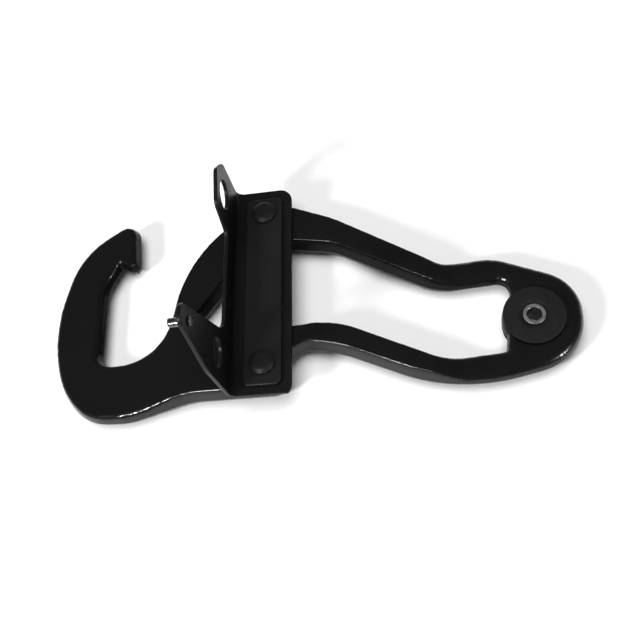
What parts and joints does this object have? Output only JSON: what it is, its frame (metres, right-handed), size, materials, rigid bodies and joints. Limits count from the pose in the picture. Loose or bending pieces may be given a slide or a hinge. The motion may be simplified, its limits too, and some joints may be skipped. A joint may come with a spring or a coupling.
{
  "type": "hook latch lever",
  "caption": "Forged steel hook lever with a forked body, a rubber-bushed pivot eye and a riveted angle bracket with holed ears and a spring post.",
  "frame": {"origin": "centre of the pivot bore, on the forging's parting plane", "axes": "+Z along the pivot bore towards the bracket's ears, +X from the hook towards the pivot eye"},
  "size_m": [0.3919, 0.1787, 0.138],
  "materials": {
    "forging_coat": "gloss black",
    "sheet_coat": "gloss black",
    "rivet_coat": "gloss black",
    "bush_rubber": "matte",
    "sleeve_steel": "machined",
    "post_steel": "gloss black"
  },
  "bodies": {
    "lever": {"forging": "forging_coat", "bracket": "sheet_coat", "backing_strip": "sheet_coat", "rivets": "rivet_coat", "bush_upper": "bush_rubber", "bush_lower": "bush_rubber", "spring_post": "post_steel"},
    "sleeve": {"bush_sleeve": "sleeve_steel"}
  },
  "joints": [
    {"name": "pivot", "type": "hinge", "parent": "lever", "child": "sleeve", "pos_m": [0, 0, 0], "axis": [0, 0, 1], "continuous": true}
  ]
}
